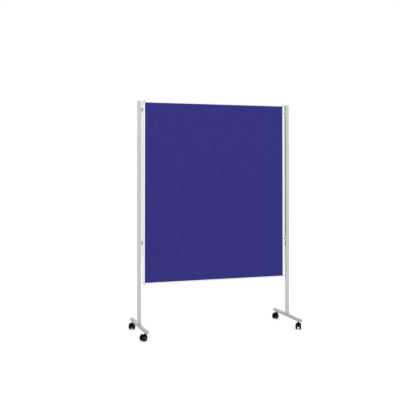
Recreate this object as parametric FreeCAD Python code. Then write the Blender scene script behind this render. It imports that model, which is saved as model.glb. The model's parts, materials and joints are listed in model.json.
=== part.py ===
import FreeCAD, Part
import math
import os

# Mobile pinboard: a framed felt panel that slides between two posts on castored T feet.
# Millimetres. X runs across the board, -Y is the front, +Z is up, the floor is at z = 0.
# The origin lies on the floor, midway between the posts.

Vector = FreeCAD.Vector
ORIGIN = Vector(0, 0, 0)
X_AXIS = Vector(1, 0, 0)
Y_AXIS = Vector(0, 1, 0)
Z_AXIS = Vector(0, 0, 1)

# Panel
panel_width = 1260.0
panel_height = 1500.0
panel_bottom = 401.0
panel_depth = 22.0
frame_face = 15.0
frame_edge_radius = 2.0
flange = 1.5
groove_lip = 1.5
groove_cavity = 4.0
groove_mouth = 8.0
groove_width = 14.0
groove_web = 1.5
board_clearance = 0.5
core_thickness = 16.0
felt_thickness = 1.4
corner_edge_radius = 1.2
corner_tongue = 25.0
fit_clearance = 0.2

# Posts
post_side = 30.0
post_edge_radius = 3.0
post_wall = 1.5
post_gap = 15.0
post_below_panel = 5.0
cap_height = 3.0
cap_crown = 2.0
cap_plug = 12.0
post_plug_length = 40.0

# Feet
foot_length = 520.0
castor_inset = 40.0
foot_width = 32.0
foot_bottom = 62.0
foot_height = 24.0
foot_top_radius = 9.0
foot_bottom_radius = 3.0
foot_wall = 2.0
foot_cap = 4.0
foot_cap_edge = 1.5
foot_cap_plug = 12.0
foot_bolt_radius = 4.0
foot_bolt_head_radius = 6.5
foot_bolt_head = 5.0
foot_bolt_depth = 30.0
foot_access_radius = 8.0

# Brackets, sliders and screws
bracket_height = 40.0
bracket_depth = 20.0
bracket_edge_radius = 2.0
upper_bracket_drop = 74.0
lower_bracket_rise = 339.0
bracket_to_stile = 0.4
slider_height = 18.0
slider_clearance = 0.3
slider_tongue = 10.0
clamp_radius = 2.5
clamp_hole_clearance = 0.1
clamp_head_radius = 4.5
clamp_head = 4.0
clamp_socket_radius = 2.3
clamp_socket_depth = 2.2
clamp_nut_radius = 4.6
clamp_nut = 4.0
bracket_screw_radius = 2.0
bracket_screw_head_radius = 3.8
bracket_screw_head = 2.2
bracket_screw_spread = 14.0
bracket_screw_reach = 5.0
screw_clearance = 0.05

# Castors
wheel_radius = 25.0
wheel_inner = 8.0
wheel_tread_end = 18.5
wheel_outer = 24.0
wheel_rim_bevel = 1.2
dome_bulge_share = 0.22
hub_radius = 14.0
hub_recess_radius = 12.5
hub_recess = 1.2
axle_radius = 3.0
axle_half_length = 20.5
axle_clearance = 0.05
castor_trail = 20.0
web_half = 7.0
web_eye_radius = 8.0
web_foot = 9.0
web_rise_share = 0.75
web_back_share = 0.9
hood_inner_radius = 26.3
hood_edge_radius = 28.3
hood_crown_radius = 28.8
hood_half_width = 18.5
hood_edge_bevel = 1.5
hood_start_deg = 50.0
hood_end_deg = 165.0
housing_radius = 9.5
housing_bottom = 47.5
housing_top = 58.0
housing_bevel = 1.5
stem_radius = 5.0
stem_bottom = 50.5
stem_collar_radius = 7.5
stem_collar_gap = 0.5
stem_nut_radius = 8.5
stem_nut_height = 8.0
stem_tip = 3.0

# Brake pedals on the front castors
pedal_inner_radius = 29.8
pedal_outer_radius = 32.6
pedal_tip_radius = 38.0
pedal_half_width = 10.0
pedal_end_deg = 70.0
pedal_bend_deg = 30.0
pedal_tip_deg = 18.0
shoe_inner_radius = 25.5
shoe_half_width = 14.0
shoe_start_deg = 33.0
shoe_end_deg = 44.0
pin_radius = 1.6
pin_circle_radius = 31.2
pin_deg = 65.0
pin_half_length = 12.8
ear_inner_half = 10.5
ear_outer_half = 13.0
ear_radius = 3.6
ear_root_radius = 27.0

# Where each castor trails at rest, as an angle from +X
castor_trail_deg = {"front_left": 200.0, "rear_left": 236.0, "rear_right": 218.0, "front_right": 243.0}
braked_castors = ("front_left", "front_right")

panel_top = panel_bottom + panel_height
channel_base = groove_lip + groove_cavity + groove_web
post_x = panel_width / 2 + post_gap + post_side / 2
post_top = panel_top - post_below_panel - cap_height
foot_top = foot_bottom + foot_height
castor_spacing = foot_length - 2 * castor_inset
bracket_heights = {"upper": panel_top - upper_bracket_drop, "lower": panel_bottom + lower_bracket_rise}
parts = {}


def box(x0, x1, y0, y1, z0, z1):
    """A block between two limits on each axis, given in either order."""
    low = Vector(min(x0, x1), min(y0, y1), min(z0, z1))
    return Part.makeBox(abs(x1 - x0), abs(y1 - y0), abs(z1 - z0), low)


def rounded_section(half_x, half_y, radii):
    """Face on the XY plane: a rectangle about the origin with one corner radius per corner,
    in the order right-top, left-top, left-bottom, right-bottom."""
    corners = [(half_x, half_y), (-half_x, half_y), (-half_x, -half_y), (half_x, -half_y)]
    edges = []
    points = []
    for number, (x, y) in enumerate(corners):
        radius = radii[number]
        centre = Vector(x - math.copysign(radius, x), y - math.copysign(radius, y), 0)
        start = math.radians(90 * number)
        turns = [start, start + math.pi / 4, start + math.pi / 2]
        points.append([centre + Vector(math.cos(t), math.sin(t), 0) * radius for t in turns])
    for number, arc in enumerate(points):
        edges.append(Part.Arc(*arc).toShape())
        edges.append(Part.makeLine(arc[2], points[(number + 1) % 4][0]))
    return Part.Face(Part.Wire(edges))


def square_section(side, radius):
    return rounded_section(side / 2, side / 2, [radius] * 4)


def polygon_face(points):
    vectors = [Vector(*p) for p in points]
    return Part.Face(Part.makePolygon(vectors + vectors[:1]))


def hexagon(radius):
    """The six corners of a nut or a socket, as pairs across its axis."""
    turns = [math.radians(60 * number) for number in range(6)]
    return [(radius * math.cos(turn), radius * math.sin(turn)) for turn in turns]


def frame_bar(length):
    """One length of the frame extrusion along Z, its outer side on x = 0, its channel towards +X."""
    half = panel_depth / 2
    section = rounded_section(frame_face / 2, half, [flange / 2, frame_edge_radius, frame_edge_radius, flange / 2])
    bar = section.extrude(Vector(0, 0, length))
    bar.translate(Vector(frame_face / 2, 0, -length / 2))
    end = length / 2
    mouth = box(0, groove_lip, -groove_mouth / 2, groove_mouth / 2, -end, end)
    cavity = box(groove_lip, groove_lip + groove_cavity, -groove_width / 2, groove_width / 2, -end, end)
    channel = box(channel_base, frame_face, flange - half, half - flange, -end, end)
    return bar.cut(mouth).cut(cavity).cut(channel)


def placed(shape, turn_deg, position):
    """The shape turned about the Y axis and then moved."""
    moved = shape.copy()
    moved.rotate(ORIGIN, Y_AXIS, turn_deg)
    moved.translate(position)
    return moved


def corner_piece():
    """Upper left corner of the frame, its inner corner at the origin, the panel towards +X and -Z."""
    half = panel_depth / 2
    quarter = Part.makeCylinder(frame_face, panel_depth, Vector(0, -half, 0), Y_AXIS)
    quarter = quarter.common(box(-frame_face, 0, -half, half, 0, frame_face))
    rim = [e for e in quarter.Edges if isinstance(e.Curve, Part.Circle)]
    quarter = quarter.makeFillet(corner_edge_radius, rim)
    pocket = frame_face - channel_base
    body = quarter.cut(box(-pocket, 0, flange - half, half - flange, 0, pocket))
    low = groove_lip + fit_clearance
    high = groove_lip + groove_cavity - fit_clearance
    wide = groove_width / 2 - fit_clearance
    body = body.fuse(box(low - frame_face, high - frame_face, -wide, wide, -corner_tongue, groove_lip))
    body = body.fuse(box(-groove_lip, corner_tongue, -wide, wide, frame_face - high, frame_face - low))
    return body.removeSplitter()


def add_panel():
    half_width = panel_width / 2
    mid_z = panel_bottom + panel_height / 2
    stile = frame_bar(panel_height - 2 * frame_face)
    rail = frame_bar(panel_width - 2 * frame_face)
    parts["frame_left_stile"] = placed(stile, 0, Vector(-half_width, 0, mid_z))
    parts["frame_right_stile"] = placed(stile, 180, Vector(half_width, 0, mid_z))
    parts["frame_top_rail"] = placed(rail, 90, Vector(0, 0, panel_top))
    parts["frame_bottom_rail"] = placed(rail, -90, Vector(0, 0, panel_bottom))
    corner = corner_piece()
    inner_x = half_width - frame_face
    low_z = panel_bottom + frame_face
    high_z = panel_top - frame_face
    parts["corner_upper_left"] = placed(corner, 0, Vector(-inner_x, 0, high_z))
    parts["corner_upper_right"] = placed(corner, 90, Vector(inner_x, 0, high_z))
    parts["corner_lower_right"] = placed(corner, 180, Vector(inner_x, 0, low_z))
    parts["corner_lower_left"] = placed(corner, 270, Vector(-inner_x, 0, low_z))
    board_x = half_width - channel_base - board_clearance
    board_low = panel_bottom + channel_base + board_clearance
    board_high = panel_top - channel_base - board_clearance
    half_core = core_thickness / 2
    layers = {
        "pinboard_core": (-half_core, half_core),
        "felt_front": (-half_core - felt_thickness, -half_core),
        "felt_rear": (half_core, half_core + felt_thickness),
    }
    for name, (y0, y1) in layers.items():
        parts[name] = box(-board_x, board_x, y0, y1, board_low, board_high)


def post_tube(side):
    length = post_top - foot_top
    tube = square_section(post_side, post_edge_radius).extrude(Vector(0, 0, length))
    hollow = square_section(post_side - 2 * post_wall, post_edge_radius - post_wall).extrude(Vector(0, 0, length))
    tube = tube.cut(hollow)
    tube.translate(Vector(side * post_x, 0, foot_top))
    for height in bracket_heights.values():
        for screw in bracket_screw_axes(side, height):
            tube = tube.cut(Part.makeCylinder(bracket_screw_radius + screw_clearance, post_wall * 4,
                                              screw - X_AXIS * (side * post_wall * 2), X_AXIS * side))
    return tube


def bracket_screw_axes(side, height):
    """Points where a bracket's two countersunk screws pass the inner face of the post."""
    face_x = side * (post_x - post_side / 2)
    return [Vector(face_x, 0, height - bracket_screw_spread), Vector(face_x, 0, height + bracket_screw_spread)]


def post_cap(side):
    top = square_section(post_side, post_edge_radius).extrude(Vector(0, 0, cap_height))
    crown = [e for e in top.Edges if abs(e.BoundBox.ZMin - cap_height) < fit_clearance]
    top = top.makeFillet(cap_crown, crown)
    plug_side = post_side - 2 * post_wall - 2 * fit_clearance
    plug = square_section(plug_side, post_edge_radius - post_wall).extrude(Vector(0, 0, -cap_plug))
    cap = top.fuse(plug).removeSplitter()
    cap.translate(Vector(side * post_x, 0, post_top))
    return cap


def post_plug(side):
    plug_side = post_side - 2 * post_wall - 2 * fit_clearance
    plug = square_section(plug_side, post_edge_radius - post_wall).extrude(Vector(0, 0, post_plug_length))
    plug = plug.cut(Part.makeCylinder(foot_bolt_radius + screw_clearance, post_plug_length))
    plug.translate(Vector(side * post_x, 0, foot_top))
    return plug


def foot_bolt(side):
    seat = foot_top - foot_wall
    head = Part.makeCylinder(foot_bolt_head_radius, foot_bolt_head, Vector(0, 0, seat - foot_bolt_head))
    shank = Part.makeCylinder(foot_bolt_radius, foot_wall + foot_bolt_depth, Vector(0, 0, seat))
    bolt = head.fuse(shank)
    bolt.translate(Vector(side * post_x, 0, 0))
    return bolt


def foot_prism(inset, length):
    """The foot's rounded section, drawn in by the inset, extruded along Y about the origin."""
    top = foot_top_radius - inset
    low = max(foot_bottom_radius - inset, foot_bottom_radius / 2)
    section = rounded_section(foot_width / 2 - inset, foot_height / 2 - inset, [top, top, low, low])
    prism = section.extrude(Vector(0, 0, length))
    prism.rotate(ORIGIN, X_AXIS, 90)
    prism.translate(Vector(0, length / 2, foot_bottom + foot_height / 2))
    return prism


def foot_bar(side):
    length = foot_length - 2 * foot_cap
    bar = foot_prism(0, length).cut(foot_prism(foot_wall, length))
    bar = bar.cut(Part.makeCylinder(foot_bolt_radius + screw_clearance, foot_wall * 2,
                                    Vector(0, 0, foot_top - foot_wall * 3 / 2)))
    bar = bar.cut(Part.makeCylinder(foot_access_radius, foot_wall * 2, Vector(0, 0, foot_bottom - foot_wall / 2)))
    for end in (-1, 1):
        bar = bar.cut(Part.makeCylinder(stem_radius + screw_clearance, foot_wall * 2,
                                        Vector(0, end * castor_spacing / 2, foot_bottom - foot_wall / 2)))
    bar.translate(Vector(side * post_x, 0, 0))
    return bar


def foot_end_cap(side, end):
    plate = foot_prism(0, foot_cap)
    plate.translate(Vector(0, foot_cap / 2, 0))
    outer = [e for e in plate.Edges if abs(e.BoundBox.YMin - foot_cap) < fit_clearance]
    plate = plate.makeFillet(foot_cap_edge, outer)
    plug = foot_prism(foot_wall + fit_clearance, foot_cap_plug)
    plug.translate(Vector(0, -foot_cap_plug / 2, 0))
    cap = plate.fuse(plug).removeSplitter()
    if end < 0:
        cap.rotate(ORIGIN, Z_AXIS, 180)
    cap.translate(Vector(side * post_x, end * (foot_length / 2 - foot_cap), 0))
    return cap


def bracket(side, height):
    """Block between post and stile, forked for the slider's tongue and drilled for its screws."""
    near = panel_width / 2 + bracket_to_stile
    far = panel_width / 2 + post_gap
    half = bracket_height / 2
    block = box(near, far, -bracket_depth / 2, bracket_depth / 2, height - half, height + half)
    long_edges = [e for e in block.Edges if abs(e.BoundBox.XLength - (far - near)) < fit_clearance]
    block = block.makeFillet(bracket_edge_radius, long_edges)
    tongue_half = groove_mouth / 2 - slider_clearance + fit_clearance
    slot_half = slider_height / 2 + fit_clearance
    block = block.cut(box(near, near + slider_tongue + fit_clearance, -tongue_half, tongue_half,
                          height - slot_half, height + slot_half))
    block = block.cut(Part.makeCylinder(clamp_radius + clamp_hole_clearance, bracket_depth,
                                        Vector(clamp_x(), -bracket_depth / 2, height), Y_AXIS))
    for offset in (-bracket_screw_spread, bracket_screw_spread):
        mouth = Vector(near, 0, height + offset)
        block = block.cut(Part.makeCylinder(bracket_screw_radius + screw_clearance, far - near, mouth, X_AXIS))
        block = block.cut(Part.makeCone(bracket_screw_head_radius + screw_clearance,
                                        bracket_screw_radius + screw_clearance, bracket_screw_head, mouth, X_AXIS))
    return block if side > 0 else block.mirror(ORIGIN, X_AXIS)


def clamp_x():
    return panel_width / 2 + bracket_to_stile + slider_tongue / 2


def slider(side, height):
    """T head in the stile's groove, with a tongue that the clamp screw holds in the bracket."""
    outer = panel_width / 2
    half = slider_height / 2
    head_half = groove_width / 2 - slider_clearance
    neck_half = groove_mouth / 2 - slider_clearance
    head = box(outer - groove_lip - groove_cavity + slider_clearance, outer - groove_lip - slider_clearance,
               -head_half, head_half, height - half, height + half)
    neck = box(outer - groove_lip - slider_clearance, outer + bracket_to_stile + slider_tongue,
               -neck_half, neck_half, height - half, height + half)
    piece = head.fuse(neck).removeSplitter()
    piece = piece.cut(Part.makeCylinder(clamp_radius + clamp_hole_clearance, groove_width,
                                        Vector(clamp_x(), -groove_width / 2, height), Y_AXIS))
    return piece if side > 0 else piece.mirror(ORIGIN, X_AXIS)


def clamp_screw(side, height):
    half = bracket_depth / 2
    at = Vector(side * clamp_x(), -half, height)
    head = Part.makeCylinder(clamp_head_radius, clamp_head, at - Y_AXIS * clamp_head, Y_AXIS)
    rim = [e for e in head.Edges if abs(e.BoundBox.YMax + half + clamp_head) < fit_clearance]
    head = head.makeFillet(clamp_head / 4, rim)
    socket_face = -half - clamp_head
    corners = hexagon(clamp_socket_radius)
    socket = polygon_face([(at.x + a, socket_face, at.z + b) for a, b in corners])
    head = head.cut(socket.extrude(Y_AXIS * clamp_socket_depth))
    shank = Part.makeCylinder(clamp_radius, bracket_depth + clamp_nut, at, Y_AXIS)
    return head.fuse(shank).removeSplitter()


def clamp_nut_piece(side, height):
    corners = [(side * clamp_x() + a, bracket_depth / 2, height + b) for a, b in hexagon(clamp_nut_radius)]
    nut = polygon_face(corners).extrude(Y_AXIS * clamp_nut)
    bore = Part.makeCylinder(clamp_radius + screw_clearance, clamp_nut,
                             Vector(side * clamp_x(), bracket_depth / 2, height), Y_AXIS)
    return nut.cut(bore)


def bracket_screws(side, height):
    near = side * (panel_width / 2 + bracket_to_stile)
    reach = post_gap - bracket_to_stile + bracket_screw_reach
    screws = []
    for offset in (-bracket_screw_spread, bracket_screw_spread):
        mouth = Vector(near, 0, height + offset)
        head = Part.makeCone(bracket_screw_head_radius, bracket_screw_radius, bracket_screw_head,
                             mouth, X_AXIS * side)
        screws.append(head.fuse(Part.makeCylinder(bracket_screw_radius, reach, mouth, X_AXIS * side)))
    return screws


def add_stand():
    clamps = []
    nuts = []
    small_screws = []
    for side, side_name in ((-1, "left"), (1, "right")):
        parts[side_name + "_post"] = post_tube(side)
        parts[side_name + "_post_cap"] = post_cap(side)
        parts[side_name + "_post_plug"] = post_plug(side)
        parts[side_name + "_foot"] = foot_bar(side)
        parts[side_name + "_foot_front_cap"] = foot_end_cap(side, -1)
        parts[side_name + "_foot_rear_cap"] = foot_end_cap(side, 1)
        for level, height in bracket_heights.items():
            parts["%s_%s_bracket" % (level, side_name)] = bracket(side, height)
            parts["%s_%s_slider" % (level, side_name)] = slider(side, height)
            clamps.append(clamp_screw(side, height))
            nuts.append(clamp_nut_piece(side, height))
            small_screws.extend(bracket_screws(side, height))
    parts["clamp_screws"] = Part.makeCompound(clamps)
    parts["clamp_nuts"] = Part.makeCompound(nuts)
    parts["bracket_screws"] = Part.makeCompound(small_screws)
    parts["foot_bolts"] = Part.makeCompound([foot_bolt(-1), foot_bolt(1)])


def wheel():
    """One domed wheel about the Y axis, its bore open on the inner side and closed by the hub face."""
    bore = axle_radius + axle_clearance
    bore_end = axle_half_length + axle_clearance * 4
    hub_face = wheel_outer - hub_recess
    bulge = (Vector(wheel_radius, wheel_tread_end, 0) + Vector(hub_radius, wheel_outer, 0)) / 2
    outward = Vector(wheel_outer - wheel_tread_end, wheel_radius - hub_radius, 0).normalize()
    bulge = bulge + outward * (wheel_radius - hub_radius) * dome_bulge_share
    profile = [
        Part.makePolygon([Vector(0, hub_face, 0), Vector(0, bore_end, 0), Vector(bore, bore_end, 0),
                          Vector(bore, wheel_inner, 0), Vector(wheel_radius - wheel_rim_bevel, wheel_inner, 0),
                          Vector(wheel_radius, wheel_inner + wheel_rim_bevel, 0),
                          Vector(wheel_radius, wheel_tread_end, 0)]),
        Part.Arc(Vector(wheel_radius, wheel_tread_end, 0), bulge, Vector(hub_radius, wheel_outer, 0)).toShape(),
        Part.makePolygon([Vector(hub_radius, wheel_outer, 0), Vector(hub_recess_radius, hub_face, 0),
                          Vector(0, hub_face, 0)]),
    ]
    edges = [e for piece in profile for e in piece.Edges]
    return Part.Face(Part.Wire(Part.__sortEdges__(edges))).revolve(ORIGIN, Y_AXIS, 360)


def ring_span(inner, outer, half_width, start_deg, end_deg):
    """A band about the Y axis between two radii, from one angle to another, counted from +X towards +Z."""
    section = polygon_face([(inner, -half_width, 0), (outer, -half_width, 0),
                            (outer, half_width, 0), (inner, half_width, 0)])
    return turned_span(section, start_deg, end_deg)


def turned_span(section, start_deg, end_deg):
    span = section.revolve(ORIGIN, Y_AXIS * -1, end_deg - start_deg)
    span.rotate(ORIGIN, Y_AXIS * -1, start_deg)
    return span


def polar(radius, degrees):
    turn = math.radians(degrees)
    return Vector(radius * math.cos(turn), 0, radius * math.sin(turn))


def hood(braked):
    """Castor body: fender over the treads, centre web with the axle's eye, and the stem housing."""
    centre = Vector(castor_trail, 0, wheel_radius)
    flat = hood_half_width - hood_edge_bevel
    section = polygon_face([(hood_inner_radius, -hood_half_width, 0), (hood_edge_radius, -flat, 0),
                            (hood_crown_radius, 0, 0), (hood_edge_radius, flat, 0),
                            (hood_inner_radius, hood_half_width, 0)])
    fender = turned_span(section, hood_start_deg, hood_end_deg)
    fender.translate(centre)
    eye = Part.makeCylinder(web_eye_radius, web_half * 2, centre - Y_AXIS * web_half, Y_AXIS)
    outline = [(castor_trail + web_eye_radius, -web_half, wheel_radius),
               (castor_trail + web_foot, -web_half, wheel_radius + hood_inner_radius * web_rise_share),
               (housing_radius / 2, -web_half, housing_top - housing_bevel),
               (-housing_radius * web_back_share, -web_half, housing_top - housing_bevel * 2),
               (-housing_radius * web_back_share, -web_half, housing_bottom - web_eye_radius),
               (castor_trail - web_eye_radius, -web_half, wheel_radius)]
    web = polygon_face(outline).extrude(Y_AXIS * web_half * 2)
    housing = Part.makeCylinder(housing_radius, housing_top - housing_bottom, Vector(0, 0, housing_bottom))
    rim = [e for e in housing.Edges if abs(e.BoundBox.ZMin - housing_top) < fit_clearance]
    housing = housing.makeChamfer(housing_bevel, rim)
    body = fender.fuse(eye).fuse(web).fuse(housing)
    if braked:
        pivot = centre + polar(pin_circle_radius, pin_deg)
        root = centre + polar(ear_root_radius, pin_deg)
        across = polar(ear_radius, pin_deg + 90)
        thick = ear_outer_half - ear_inner_half
        for y in (-ear_outer_half, ear_inner_half):
            lug = Part.makeCylinder(ear_radius, thick, pivot + Y_AXIS * y, Y_AXIS)
            foot = [root + across, root - across, pivot - across, pivot + across]
            leg = polygon_face([(p.x, y, p.z) for p in foot]).extrude(Y_AXIS * thick)
            body = body.fuse(lug).fuse(leg)
        body = body.cut(Part.makeCylinder(pin_radius + axle_clearance, ear_outer_half * 2,
                                          pivot - Y_AXIS * ear_outer_half, Y_AXIS))
    body = body.cut(Part.makeCylinder(stem_radius + axle_clearance, housing_top - stem_bottom + stem_collar_gap,
                                      Vector(0, 0, stem_bottom - stem_collar_gap)))
    body = body.cut(Part.makeCylinder(axle_radius, web_half * 2, centre - Y_AXIS * web_half, Y_AXIS))
    return body.removeSplitter()


def brake_pedal():
    """Pedal over the trailing side of the wheels, with its two pivot pins and its brake shoe."""
    strip = ring_span(pedal_inner_radius, pedal_outer_radius, pedal_half_width, pedal_bend_deg, pedal_end_deg)
    wedge = [polar(pedal_inner_radius, pedal_bend_deg), polar(pedal_tip_radius, pedal_tip_deg),
             polar(pedal_outer_radius, pedal_bend_deg)]
    tip = polygon_face([(p.x, -pedal_half_width, p.z) for p in wedge]).extrude(Y_AXIS * pedal_half_width * 2)
    shoe = ring_span(shoe_inner_radius, pedal_inner_radius, shoe_half_width, shoe_start_deg, shoe_end_deg)
    pivot = polar(pin_circle_radius, pin_deg)
    pin = Part.makeCylinder(pin_radius, pin_half_length * 2, pivot - Y_AXIS * pin_half_length, Y_AXIS)
    pedal = strip.fuse(tip).fuse(shoe).fuse(pin).removeSplitter()
    pedal.translate(Vector(castor_trail, 0, wheel_radius))
    return pedal


def stem():
    top = foot_bottom + foot_wall + stem_nut_height + stem_tip
    collar_bottom = housing_top + stem_collar_gap
    pin = Part.makeCylinder(stem_radius, top - stem_bottom, Vector(0, 0, stem_bottom))
    collar = Part.makeCylinder(stem_collar_radius, foot_bottom - collar_bottom, Vector(0, 0, collar_bottom))
    return pin.fuse(collar).removeSplitter()


def stem_nut():
    bottom = foot_bottom + foot_wall
    nut = polygon_face([(a, b, bottom) for a, b in hexagon(stem_nut_radius)]).extrude(Vector(0, 0, stem_nut_height))
    return nut.cut(Part.makeCylinder(stem_radius + screw_clearance, stem_nut_height, Vector(0, 0, bottom)))


def add_castors():
    wheel_a = wheel()
    wheel_b = wheel_a.mirror(ORIGIN, Y_AXIS)
    centre = Vector(castor_trail, 0, wheel_radius)
    nuts = []
    for place, trail_deg in castor_trail_deg.items():
        end = -1 if place.startswith("front") else 1
        side = -1 if place.endswith("left") else 1
        at = Vector(side * post_x, end * castor_spacing / 2, 0)
        pieces = {"castor_hood": hood(place in braked_castors)}
        pieces["castor_axle"] = Part.makeCylinder(axle_radius, axle_half_length * 2,
                                                  centre - Y_AXIS * axle_half_length, Y_AXIS)
        for letter, shape in (("a", wheel_a), ("b", wheel_b)):
            pieces["wheel_" + letter] = shape.copy()
            pieces["wheel_" + letter].translate(centre)
        pieces["castor_stem"] = stem()
        if place in braked_castors:
            pieces["brake_pedal"] = brake_pedal()
        for name, shape in pieces.items():
            shape.rotate(ORIGIN, Z_AXIS, trail_deg)
            shape.translate(at)
            parts[place + "_" + name] = shape
        nut = stem_nut()
        nut.translate(at)
        nuts.append(nut)
    parts["castor_nuts"] = Part.makeCompound(nuts)


add_panel()
add_stand()
add_castors()
os.makedirs("parts", exist_ok=True)
for node, shape in parts.items():
    shape.exportStep("parts/%s.step" % node)
    if not shape.isValid():
        print("not valid:", node)
print(len(parts), "nodes")
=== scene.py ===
import json
import math

import bmesh
import bpy
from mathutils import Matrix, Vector, noise


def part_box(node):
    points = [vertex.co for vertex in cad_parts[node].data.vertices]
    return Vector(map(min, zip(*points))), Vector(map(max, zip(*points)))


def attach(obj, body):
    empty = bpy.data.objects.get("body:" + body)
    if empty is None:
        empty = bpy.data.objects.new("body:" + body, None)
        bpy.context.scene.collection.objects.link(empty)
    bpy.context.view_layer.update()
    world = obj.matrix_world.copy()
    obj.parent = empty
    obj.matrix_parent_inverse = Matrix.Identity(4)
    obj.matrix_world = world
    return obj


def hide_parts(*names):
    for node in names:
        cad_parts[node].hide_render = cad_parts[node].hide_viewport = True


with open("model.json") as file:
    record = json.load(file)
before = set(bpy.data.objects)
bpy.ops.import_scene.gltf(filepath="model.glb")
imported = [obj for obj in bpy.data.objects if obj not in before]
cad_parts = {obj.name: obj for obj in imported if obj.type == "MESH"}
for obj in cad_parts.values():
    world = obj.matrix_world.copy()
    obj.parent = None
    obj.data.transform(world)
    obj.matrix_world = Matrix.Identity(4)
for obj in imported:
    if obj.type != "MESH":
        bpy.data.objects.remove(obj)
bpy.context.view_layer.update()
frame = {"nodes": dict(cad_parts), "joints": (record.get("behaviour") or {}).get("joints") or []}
nodes = frame["nodes"]

# Core board
# A soft fibreboard sheet that takes the pins. It stands in the channels of the frame
# and carries a felt sheet glued to each face.
grain_share = 0.6
patch_share = 0.4
patch_scale = 14.0


def put(tree, kind, inputs=None, **settings):
    """Adds a shader node; an input is given a value or the socket that feeds it."""
    made = tree.nodes.new(kind)
    for name, value in settings.items():
        setattr(made, name, value)
    for name, value in (inputs or {}).items():
        if isinstance(value, bpy.types.NodeSocket):
            tree.links.new(value, made.inputs[name])
        else:
            made.inputs[name].default_value = value
    return made


def calculate(tree, operation, *values):
    """The result of a Math node; each value is a number or the socket that feeds it."""
    return put(tree, "ShaderNodeMath", dict(enumerate(values)), operation=operation).outputs[0]


def noise_over(tree, place, scale, **settings):
    """The strength of a noise texture at a place."""
    return put(tree, "ShaderNodeTexNoise", {"Vector": place, "Scale": scale, **settings}).outputs["Fac"]


def new_group(name, inputs, outputs):
    """A shader node group with named sockets, and what its inputs give."""
    tree = bpy.data.node_groups.new(name, "ShaderNodeTree")
    for socket, kind in inputs.items():
        tree.interface.new_socket(socket, in_out="INPUT", socket_type=kind)
    for socket in outputs:
        tree.interface.new_socket(socket, in_out="OUTPUT", socket_type="NodeSocketFloat")
    return tree, put(tree, "NodeGroupInput").outputs


def empty_tree(owner):
    """The node tree of a material or a world, with no nodes in it yet."""
    owner.use_nodes = True
    owner.node_tree.nodes.clear()
    return owner.node_tree


def finish_of(name, group, values, dark, light, roughness, bump_strength, bump_depth, zones=None, **shader):
    """A material whose colour and roughness follow a group's Tone, and its bump the group's Height.

    zones gives the colour of each further mask that the group puts out.
    """
    material = bpy.data.materials.new(name)
    tree = empty_tree(material)
    pattern = put(tree, "ShaderNodeGroup", values, node_tree=group)
    colour = (*dark, 1)
    for mask, shade in {"Tone": light, **(zones or {})}.items():
        layer = put(tree, "ShaderNodeMix", data_type="RGBA", inputs={
            "Factor": pattern.outputs[mask], "A": colour, "B": (*shade, 1)})
        colour = layer.outputs["Result"]
    rough = put(tree, "ShaderNodeMapRange", {
        "Value": pattern.outputs["Tone"], "To Min": roughness[0], "To Max": roughness[1]})
    relief = put(tree, "ShaderNodeBump", {
        "Height": pattern.outputs["Height"], "Strength": bump_strength, "Distance": bump_depth})
    skin = put(tree, "ShaderNodeBsdfPrincipled", {
        "Base Color": colour, "Roughness": rough.outputs["Result"],
        "Normal": relief.outputs["Normal"], **shader})
    put(tree, "ShaderNodeOutputMaterial", {"Surface": skin.outputs["BSDF"]})
    return material


def dress(material, *names):
    """Gives CAD nodes their material."""
    for name in names:
        mesh = nodes[name].data
        mesh.materials.clear()
        mesh.materials.append(material)


def grain_group():
    """Fine even grain of a moulded or pressed surface, with faint larger patches."""
    tree, given = new_group("moulded_grain", {"Grain": "NodeSocketFloat"}, ["Tone", "Height"])
    place = put(tree, "ShaderNodeTexCoord").outputs["Object"]
    fine = noise_over(tree, place, given["Grain"], Detail=3.0, Roughness=0.6)
    patches = noise_over(tree, place, patch_scale, Detail=2.0)
    faint = calculate(tree, "MULTIPLY", patches, patch_share)
    tone = calculate(tree, "MULTIPLY_ADD", fine, grain_share, faint)
    put(tree, "NodeGroupOutput", {"Tone": tone, "Height": fine})
    return tree


moulded_grain = grain_group()
fibreboard = finish_of(
    "soft_fibreboard", moulded_grain, {"Grain": 500.0},
    dark=(0.3, 0.21, 0.12), light=(0.5, 0.37, 0.24), roughness=(0.8, 0.95),
    bump_strength=0.4, bump_depth=0.0006)
dress(fibreboard, "pinboard_core")

# Felt sheets
# One needled felt sheet on each face of the core, glued flat and tucked under the frame's lips.
# Short matted fibres make it quite dull, with faint lighter and darker flecks.
felt_columns = 42
felt_rows = 50
felt_dip = 0.00012
felt_ripple_scale = 9.0
strand_turns = (0.5, -0.7)
strand_stretch = (1.0, 1.0, 0.28)
cloud_scale = 22.0
cloud_share = 0.35
fleck_low = 0.38
fleck_high = 0.72
felt_lustre = {"Sheen Weight": 0.08, "Sheen Roughness": 0.6, "Sheen Tint": (0.5, 0.5, 0.95, 1),
               "Specular IOR Level": 0.2}


def felt_group():
    """Matted fibres: two crossed sets of long thin noise strands over soft cloudy patches."""
    tree, given = new_group("needled_felt", {"Fibre": "NodeSocketFloat"}, ["Tone", "Height"])
    place = put(tree, "ShaderNodeTexCoord").outputs["Object"]
    strands = []
    for turn in strand_turns:
        laid = put(tree, "ShaderNodeMapping", {
            "Vector": place, "Rotation": (0, turn, 0), "Scale": strand_stretch})
        strands.append(noise_over(
            tree, laid.outputs["Vector"], given["Fibre"], Detail=4.0, Roughness=0.65, Distortion=0.8))
    matted = calculate(tree, "MAXIMUM", *strands)
    cloud = noise_over(tree, place, cloud_scale, Detail=5.0, Roughness=0.55)
    blend = put(tree, "ShaderNodeMix", data_type="FLOAT", inputs={
        "Factor": cloud_share, "A": matted, "B": cloud})
    tone = put(tree, "ShaderNodeMapRange", {
        "Value": blend.outputs["Result"], "From Min": fleck_low, "From Max": fleck_high})
    put(tree, "NodeGroupOutput", {"Tone": tone.outputs["Result"], "Height": matted})
    return tree


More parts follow.
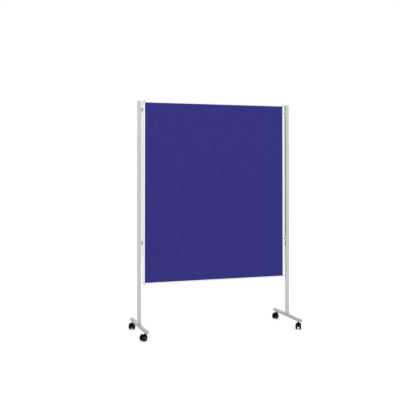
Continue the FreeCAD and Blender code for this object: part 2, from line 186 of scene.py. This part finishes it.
def felt_mesh(name, low, high, face_y, back_y):
    """A thin closed sheet whose outer face dips a little between its glue points."""
    across = felt_columns + 1
    layer = across * (felt_rows + 1)
    vertices = []
    for y, dip in ((face_y, felt_dip), (back_y, 0.0)):
        for row in range(felt_rows + 1):
            for column in range(felt_columns + 1):
                x = low.x + (high.x - low.x) * column / felt_columns
                z = low.z + (high.z - low.z) * row / felt_rows
                wave = (noise.noise(Vector((x, face_y, z)) * felt_ripple_scale) + 1) / 2
                vertices.append((x, y + math.copysign(dip * wave, back_y - face_y), z))
    faces = []
    for row in range(felt_rows):
        for column in range(felt_columns):
            corner = row * across + column
            quad = (corner, corner + 1, corner + across + 1, corner + across)
            faces.append(quad)
            faces.append(tuple(layer + vertex for vertex in reversed(quad)))
    rim = list(range(felt_columns))
    rim += [row * across + felt_columns for row in range(felt_rows)]
    rim += [felt_rows * across + column for column in range(felt_columns, 0, -1)]
    rim += [row * across for row in range(felt_rows, 0, -1)]
    for here, after in zip(rim, rim[1:] + rim[:1]):
        faces.append((here, layer + here, layer + after, after))
    if face_y > back_y:
        faces = [face[::-1] for face in faces]
    mesh = bpy.data.meshes.new(name)
    mesh.from_pydata(vertices, [], faces)
    mesh.shade_smooth()
    return mesh


def add_object(name, data):
    """Puts a mesh, a lamp or a camera into the scene."""
    made = bpy.data.objects.new(name, data)
    bpy.context.scene.collection.objects.link(made)
    return made


needled_felt = felt_group()
felt = finish_of(
    "blue_felt", needled_felt, {"Fibre": 420.0},
    dark=(0.0239, 0.0239, 0.184), light=(0.0361, 0.0361, 0.256), roughness=(0.88, 0.98),
    bump_strength=0.55, bump_depth=0.0005, **felt_lustre)
for face in ("front", "rear"):
    node = "felt_" + face
    sheet_name = "felt_sheet_" + face
    low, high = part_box(node)
    face_y, back_y = (low.y, high.y) if face == "front" else (high.y, low.y)
    sheet = add_object(sheet_name, felt_mesh(sheet_name, low, high, face_y, back_y))
    sheet.data.materials.append(felt)
    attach(sheet, "panel")
    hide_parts(node)

# Frame bars
# Four lengths of one aluminium extrusion, satin anodised, with faint lines along the way it was drawn.
# They hold the board in their inner channel and are open outside in a T groove.
sides = ("left", "right")
drawn_stretch = 0.006
speck_scale = 1500.0
speck_share = 0.3


def drawn_group():
    """Faint long lines left by drawing or extruding, stretched along one axis."""
    tree, given = new_group(
        "drawn_lines", {"Stretch": "NodeSocketVector", "Lines": "NodeSocketFloat"}, ["Tone", "Height"])
    place = put(tree, "ShaderNodeTexCoord").outputs["Object"]
    drawn = put(tree, "ShaderNodeVectorMath", {0: place, 1: given["Stretch"]}, operation="MULTIPLY")
    lines = noise_over(tree, drawn.outputs["Vector"], given["Lines"], Detail=4.0, Roughness=0.6)
    specks = noise_over(tree, place, speck_scale, Detail=1.0)
    blend = put(tree, "ShaderNodeMix", data_type="FLOAT", inputs={
        "Factor": speck_share, "A": lines, "B": specks})
    put(tree, "NodeGroupOutput", {"Tone": blend.outputs["Result"], "Height": blend.outputs["Result"]})
    return tree


drawn_lines = drawn_group()
for bar, ends, stretch in (("stile", sides, (1, 1, drawn_stretch)),
                           ("rail", ("top", "bottom"), (drawn_stretch, 1, 1))):
    anodised = finish_of(
        "anodised_" + bar, drawn_lines, {"Stretch": stretch, "Lines": 700.0},
        dark=(0.8, 0.805, 0.81), light=(0.91, 0.915, 0.92), roughness=(0.3, 0.42),
        bump_strength=0.12, bump_depth=0.0002, Metallic=0.55)
    for end in ends:
        dress(anodised, "frame_%s_%s" % (end, bar))

# Corner pieces
# Rounded plastic mouldings that join the bars, pushed into their grooves with two tongues each.
# Pale grey, a little darker and duller than the anodised bars.
levels = ("upper", "lower")
corner_plastic = finish_of(
    "corner_plastic", moulded_grain, {"Grain": 1100.0},
    dark=(0.44, 0.44, 0.45), light=(0.52, 0.52, 0.53), roughness=(0.42, 0.55),
    bump_strength=0.1, bump_depth=0.0002)
for level in levels:
    for side in sides:
        dress(corner_plastic, "corner_%s_%s" % (level, side))

# Posts and feet
# Square steel tubes with rounded edges, slotted in the inner wall for the brackets' screws, stand on low
# rounded foot bars that run front to back. All are powder coated with a fine orange-peel surface, the feet
# in a darker silver grey than the posts. The tubes are unpainted steel inside, and their inner faces are
# darkened past that steel's own colour with painted shade, so that the slot reads as a dark line.
slot_width = 0.012
slot_below_bracket = 0.07
slot_depth = 0.004
slot_overrun = 0.002
slot_end_steps = 10
weld_distance = 0.000001
crease_angle = math.radians(30)


def silver_powder(piece, dark, light):
    """The powder coat of the posts or the feet."""
    return finish_of(
        piece + "_silver_powder", moulded_grain, {"Grain": 650.0},
        dark=dark, light=light, roughness=(0.38, 0.48),
        bump_strength=0.14, bump_depth=0.0004, Metallic=0.3)


def add_form(name, form):
    """Puts what was built in a bmesh into the scene."""
    mesh = bpy.data.meshes.new(name)
    form.to_mesh(mesh)
    form.free()
    return add_object(name, mesh)


def slot_cutter(face_x, inward, end_z, top_z):
    """A long block with a round lower end that stands across the inner wall of a post."""
    radius = slot_width / 2
    outline = [(-radius, top_z), (radius, top_z)]
    for step in range(slot_end_steps + 1):
        angle = math.pi * step / slot_end_steps
        outline.append((radius * math.cos(angle), end_z + radius - radius * math.sin(angle)))
    form = bmesh.new()
    near = [form.verts.new((face_x - inward * slot_overrun, y, z)) for y, z in outline]
    far = [form.verts.new((face_x + inward * slot_depth, y, z)) for y, z in outline]
    form.faces.new(near)
    form.faces.new(far)
    for here in range(len(outline)):
        after = (here + 1) % len(outline)
        form.faces.new((near[here], near[after], far[after], far[here]))
    bmesh.ops.recalc_face_normals(form, faces=form.faces)
    return add_form("slot_cutter", form)


def apply_modifiers(piece):
    """Gives a piece the mesh that its modifiers make, and removes them."""
    made = piece.evaluated_get(bpy.context.evaluated_depsgraph_get())
    piece.data = bpy.data.meshes.new_from_object(made)
    piece.modifiers.clear()


def slotted_post(side):
    """The post's own shape with the slot cut through its inner wall."""
    node = side + "_post"
    low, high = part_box(node)
    face_x, inward = (high.x, -1) if side == "left" else (low.x, 1)
    bracket_low, bracket_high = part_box("lower_%s_bracket" % side)
    slot_end = (bracket_low.z + bracket_high.z) / 2 - slot_below_bracket
    form = bmesh.new()
    form.from_mesh(nodes[node].data)
    bmesh.ops.remove_doubles(form, verts=form.verts, dist=weld_distance)
    post = add_form(node + "_slotted", form)
    cutter = slot_cutter(face_x, inward, slot_end, high.z + slot_overrun)
    cut = post.modifiers.new("slot", "BOOLEAN")
    cut.operation = "DIFFERENCE"
    cut.solver = "EXACT"
    cut.object = cutter
    apply_modifiers(post)
    bpy.data.objects.remove(cutter)
    post.data.shade_smooth()
    post.data.set_sharp_from_angle(angle=crease_angle)
    post.modifiers.new("flat_sides", "WEIGHTED_NORMAL").keep_sharp = True
    apply_modifiers(post)
    return post


def coat_post(post, node, coat, bare_and_shade):
    """Coats a post, apart from the faces that look towards the middle of the tube, which get unpainted steel
    darkened with painted shade.
    """
    mesh = post.data
    mesh.materials.append(coat)
    mesh.materials.append(bare_and_shade)
    bare_and_shade_slot = mesh.materials.find(bare_and_shade.name)
    low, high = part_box(node)
    middle = (low + high) / 2
    for face in mesh.polygons:
        if face.normal.xy.dot((face.center - middle).xy) < 0:
            face.material_index = bare_and_shade_slot


# Unpainted steel for the insides of the posts, darkened past its own colour with painted shade.
bare_steel_painted_shade = finish_of(
    "bare_steel_painted_shade", moulded_grain, {"Grain": 400.0},
    dark=(0.05, 0.05, 0.053), light=(0.09, 0.09, 0.094), roughness=(0.55, 0.7),
    bump_strength=0.1, bump_depth=0.0002)
post_powder = silver_powder("post", dark=(0.525, 0.525, 0.53), light=(0.63, 0.63, 0.635))
foot_powder = silver_powder("foot", dark=(0.37, 0.37, 0.375), light=(0.45, 0.45, 0.455))
for side in sides:
    post = slotted_post(side)
    coat_post(post, side + "_post", post_powder, bare_steel_painted_shade)
    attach(post, "stand")
    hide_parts(side + "_post")
    dress(foot_powder, side + "_foot")

# Caps and plugs
# Mid-grey plastic caps close the posts and the ends of the feet, pushed in with a short plug.
# A dark nylon plug in each post's lower end takes the bolt that comes up through the foot.
cap_plastic = finish_of(
    "cap_plastic", moulded_grain, {"Grain": 1000.0},
    dark=(0.4, 0.4, 0.405), light=(0.48, 0.48, 0.485), roughness=(0.45, 0.6),
    bump_strength=0.15, bump_depth=0.0002)
dark_nylon = finish_of(
    "dark_nylon", moulded_grain, {"Grain": 1000.0},
    dark=(0.03, 0.03, 0.031), light=(0.045, 0.045, 0.046), roughness=(0.45, 0.6),
    bump_strength=0.15, bump_depth=0.0002)
for side in sides:
    dress(cap_plastic, side + "_post_cap", side + "_foot_front_cap", side + "_foot_rear_cap")
    dress(dark_nylon, side + "_post_plug")

# Brackets and sliders
# Pale plastic blocks screwed to the posts, forked around a dark nylon slider whose T head
# runs in the stile's groove. A black screw clamps each one.
bracket_plastic = finish_of(
    "bracket_plastic", moulded_grain, {"Grain": 1000.0},
    dark=(0.62, 0.62, 0.63), light=(0.7, 0.7, 0.71), roughness=(0.45, 0.58),
    bump_strength=0.12, bump_depth=0.0002)
for level in levels:
    for side in sides:
        dress(bracket_plastic, "%s_%s_bracket" % (level, side))
        dress(dark_nylon, "%s_%s_slider" % (level, side))

# Screws, bolts and nuts
# Turned from steel bar and zinc plated, with the fine speckle of the plating.
# Only the four clamp screws are blackened.
zinc = finish_of(
    "zinc_steel", drawn_lines, {"Stretch": (1, 1, 1), "Lines": 900.0},
    dark=(0.42, 0.42, 0.43), light=(0.58, 0.58, 0.59), roughness=(0.28, 0.42),
    bump_strength=0.1, bump_depth=0.0001, Metallic=1.0)
black_oxide = finish_of(
    "black_oxide", moulded_grain, {"Grain": 1200.0},
    dark=(0.012, 0.012, 0.012), light=(0.026, 0.026, 0.027), roughness=(0.35, 0.5),
    bump_strength=0.1, bump_depth=0.0001, Metallic=0.4)
dress(zinc, "clamp_nuts", "bracket_screws", "foot_bolts", "castor_nuts")
dress(black_oxide, "clamp_screws")

# Castors
# Twin-wheel furniture castors in black nylon on zinc plated stems and axles. The hood turns on its stem,
# the domed wheels turn on the axle, and the front castors have a brake pedal over the treads.
nylon_grain = 1100.0
nylon = {"dark": (0.0025, 0.0025, 0.0027), "light": (0.006, 0.006, 0.0063),
         "bump_strength": 0.12, "bump_depth": 0.0002, "Specular IOR Level": 0.1}
hub_radius = 0.0128
tread_start = 0.0238
ring_pitch = 0.0009
ring_height = 260.0
wheel_colours = {"Hub": (0.045, 0.045, 0.047), "Tread": (0.003, 0.003, 0.0032)}


def zone_group():
    """Masks of a wheel's hub disc and tread by the distance from its axle, and fine moulded rings."""
    tree, given = new_group(
        "wheel_zones",
        {"Centre": "NodeSocketVector", "Axle": "NodeSocketVector", "Grain": "NodeSocketFloat"},
        ["Hub", "Tread", "Tone", "Height"])
    place = put(tree, "ShaderNodeTexCoord").outputs["Object"]
    arm = put(tree, "ShaderNodeVectorMath", {0: place, 1: given["Centre"]}, operation="SUBTRACT")
    turn = put(tree, "ShaderNodeVectorMath", operation="CROSS_PRODUCT", inputs={
        0: arm.outputs["Vector"], 1: given["Axle"]})
    distance = put(tree, "ShaderNodeVectorMath", {0: turn.outputs["Vector"]}, operation="LENGTH")
    radius = distance.outputs["Value"]
    grain = noise_over(tree, place, given["Grain"], Detail=3.0)
    rings = calculate(tree, "PINGPONG", radius, ring_pitch)
    put(tree, "NodeGroupOutput", {
        "Hub": calculate(tree, "LESS_THAN", radius, hub_radius),
        "Tread": calculate(tree, "GREATER_THAN", radius, tread_start),
        "Tone": grain,
        "Height": calculate(tree, "MULTIPLY_ADD", rings, ring_height, grain)})
    return tree


wheel_zones = zone_group()
black_nylon = finish_of("black_nylon", moulded_grain, {"Grain": nylon_grain}, roughness=(0.5, 0.62), **nylon)
joints = {joint["name"]: joint for joint in frame["joints"]}
for end in ("front", "rear"):
    for side in sides:
        castor = "%s_%s" % (end, side)
        spin = joints[castor + "_wheel_a_spin"]
        wheel_nylon = finish_of(
            castor + "_wheel_nylon", wheel_zones,
            {"Centre": spin["pos_m"], "Axle": spin["axis"], "Grain": nylon_grain},
            roughness=(0.45, 0.58), zones=wheel_colours, **nylon)
        dress(wheel_nylon, castor + "_wheel_a", castor + "_wheel_b")
        dress(black_nylon, castor + "_castor_hood")
        dress(zinc, castor + "_castor_axle", castor + "_castor_stem")
        if end == "front":
            dress(black_nylon, castor + "_brake_pedal")

# Floor and background
# A plain white studio floor that keeps the soft shadow, before a white surround.
# Both look brighter to the camera and in reflections than the light they throw on the board.
floor_half = 30.0
floor_shade = (0.9, 0.9, 0.9, 1)
floor_glow = 0.3
surround_light = 0.8
white = (1, 1, 1, 1)


def seen_directly(tree):
    """One where a ray comes from the camera, a reflection or a transmission."""
    path = put(tree, "ShaderNodeLightPath")
    either = calculate(tree, "MAXIMUM", path.outputs["Is Camera Ray"], path.outputs["Is Glossy Ray"])
    return calculate(tree, "MAXIMUM", either, path.outputs["Is Transmission Ray"])


floor_corners = [(-floor_half, -floor_half, 0), (floor_half, -floor_half, 0),
                 (floor_half, floor_half, 0), (-floor_half, floor_half, 0)]
floor_mesh = bpy.data.meshes.new("studio_floor")
floor_mesh.from_pydata(floor_corners, [], [(0, 1, 2, 3)])
floor = add_object("studio_floor", floor_mesh)

floor_white = bpy.data.materials.new("floor_white")
floor_tree = empty_tree(floor_white)
floor_skin = put(floor_tree, "ShaderNodeBsdfPrincipled", {
    "Base Color": floor_shade, "Roughness": 0.9, "Specular IOR Level": 0.0, "Emission Color": white,
    "Emission Strength": calculate(floor_tree, "MULTIPLY", seen_directly(floor_tree), floor_glow)})
put(floor_tree, "ShaderNodeOutputMaterial", {"Surface": floor_skin.outputs["BSDF"]})
floor_mesh.materials.append(floor_white)

surround = bpy.data.worlds.new("white_surround")
bpy.context.scene.world = surround
surround_tree = empty_tree(surround)
surround_level = put(surround_tree, "ShaderNodeMapRange", {
    "Value": seen_directly(surround_tree), "To Min": surround_light, "To Max": 1.0})
backdrop = put(surround_tree, "ShaderNodeBackground", {
    "Color": white, "Strength": surround_level.outputs["Result"]})
put(surround_tree, "ShaderNodeOutputWorld", {"Surface": backdrop.outputs["Background"]})

# Lights
# Large soft boxes that face the middle of the board: a main one high in front and a little right,
# a weak one left, and one behind.
board_middle = Vector((0, 0, 1.0))
for name, place, size, watts in (("main_soft_box", (1.6, -4.6, 4.8), 4.0, 60.0),
                                 ("left_soft_box", (-3.6, -3.0, 2.6), 2.2, 14.0),
                                 ("rear_soft_box", (0.8, 3.8, 3.2), 2.6, 40.0)):
    lamp = bpy.data.lights.new(name, "AREA")
    lamp.energy = watts
    lamp.size = size
    soft_box = add_object(name, lamp)
    soft_box.location = place
    soft_box.rotation_euler = (board_middle - Vector(place)).to_track_quat("-Z", "Y").to_euler()

# Camera
# At chest height in front of the board and to its left, tilted up one degree,
# with the lens moved down to frame the castors.
camera_data = bpy.data.cameras.new("camera")
camera_data.lens = 63.677
camera_data.sensor_width = 36.0
camera_data.shift_y = -0.1106
camera = add_object("camera", camera_data)
camera.location = (-2.0138, -5.6238, 1.3493)
camera.rotation_euler = (math.radians(91), 0, math.radians(-18.442))
bpy.context.scene.camera = camera
bpy.context.scene.view_settings.view_transform = "Standard"
